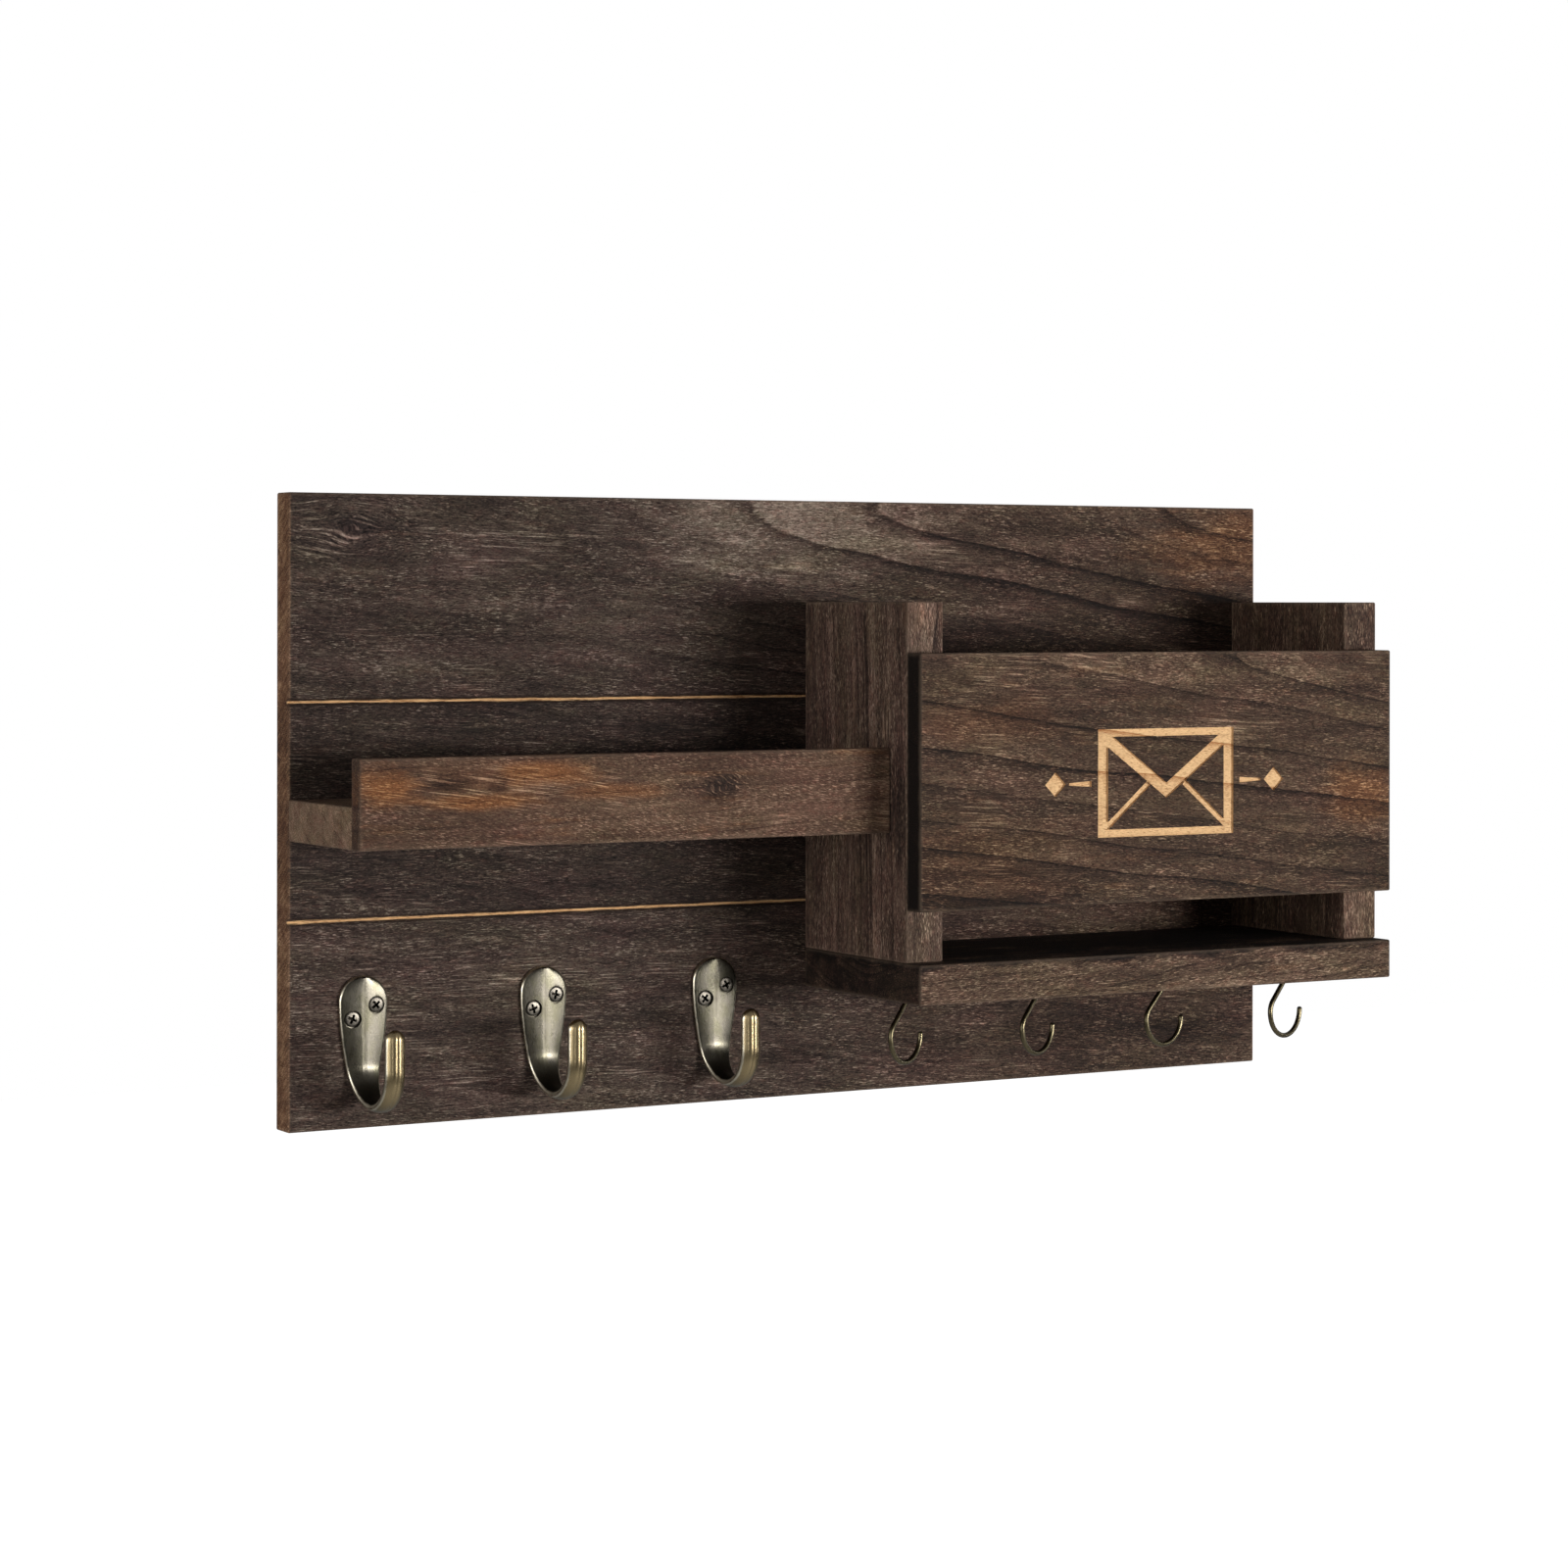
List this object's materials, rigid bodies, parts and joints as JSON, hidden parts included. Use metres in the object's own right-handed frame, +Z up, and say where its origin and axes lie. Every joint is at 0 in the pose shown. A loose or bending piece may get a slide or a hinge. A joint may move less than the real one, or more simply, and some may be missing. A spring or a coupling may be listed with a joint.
{
  "type": "wall mail organizer",
  "caption": "Wall-hung dark wood organizer with a mail box, a railed key shelf, brass coat hooks and cup hooks under the box.",
  "frame": {"origin": "on the wall plane, at the middle of the back board's back", "axes": "+X right as seen from the front, +Y into the wall, +Z up"},
  "size_m": [0.424, 0.0925, 0.224],
  "materials": {
    "dark_wood": "torched and brushed, dark brown stain with open grain, satin; light wood shows in the cut grooves",
    "antique_brass": "antique plated casting, dark in the hollows and polished on the ridges",
    "bronze_wire": "dark antique plated wire",
    "bronze_screw": "dark antique plated, cross-slot head",
    "zinc_plate": "zinc plated",
    "steel_screw": "zinc plated"
  },
  "bodies": {
    "root": {"back_board": "dark_wood", "key_shelf_board": "dark_wood", "key_shelf_rail": "dark_wood", "box_side_left": "dark_wood", "box_side_right": "dark_wood", "box_bottom_board": "dark_wood", "box_front_panel": "dark_wood", "coat_hook_left": "antique_brass", "coat_hook_middle": "antique_brass", "coat_hook_right": "antique_brass", "cup_hook_1": "bronze_wire", "cup_hook_2": "bronze_wire", "cup_hook_3": "bronze_wire", "cup_hook_4": "bronze_wire", "coat_hook_screws": "bronze_screw", "hanger_plate_left": "zinc_plate", "hanger_plate_right": "zinc_plate", "hanger_screws": "zinc_plate", "back_screws": "steel_screw", "box_bottom_screws": "steel_screw", "front_panel_pins": "steel_screw", "rail_pins": "steel_screw"}
  },
  "joints": []
}
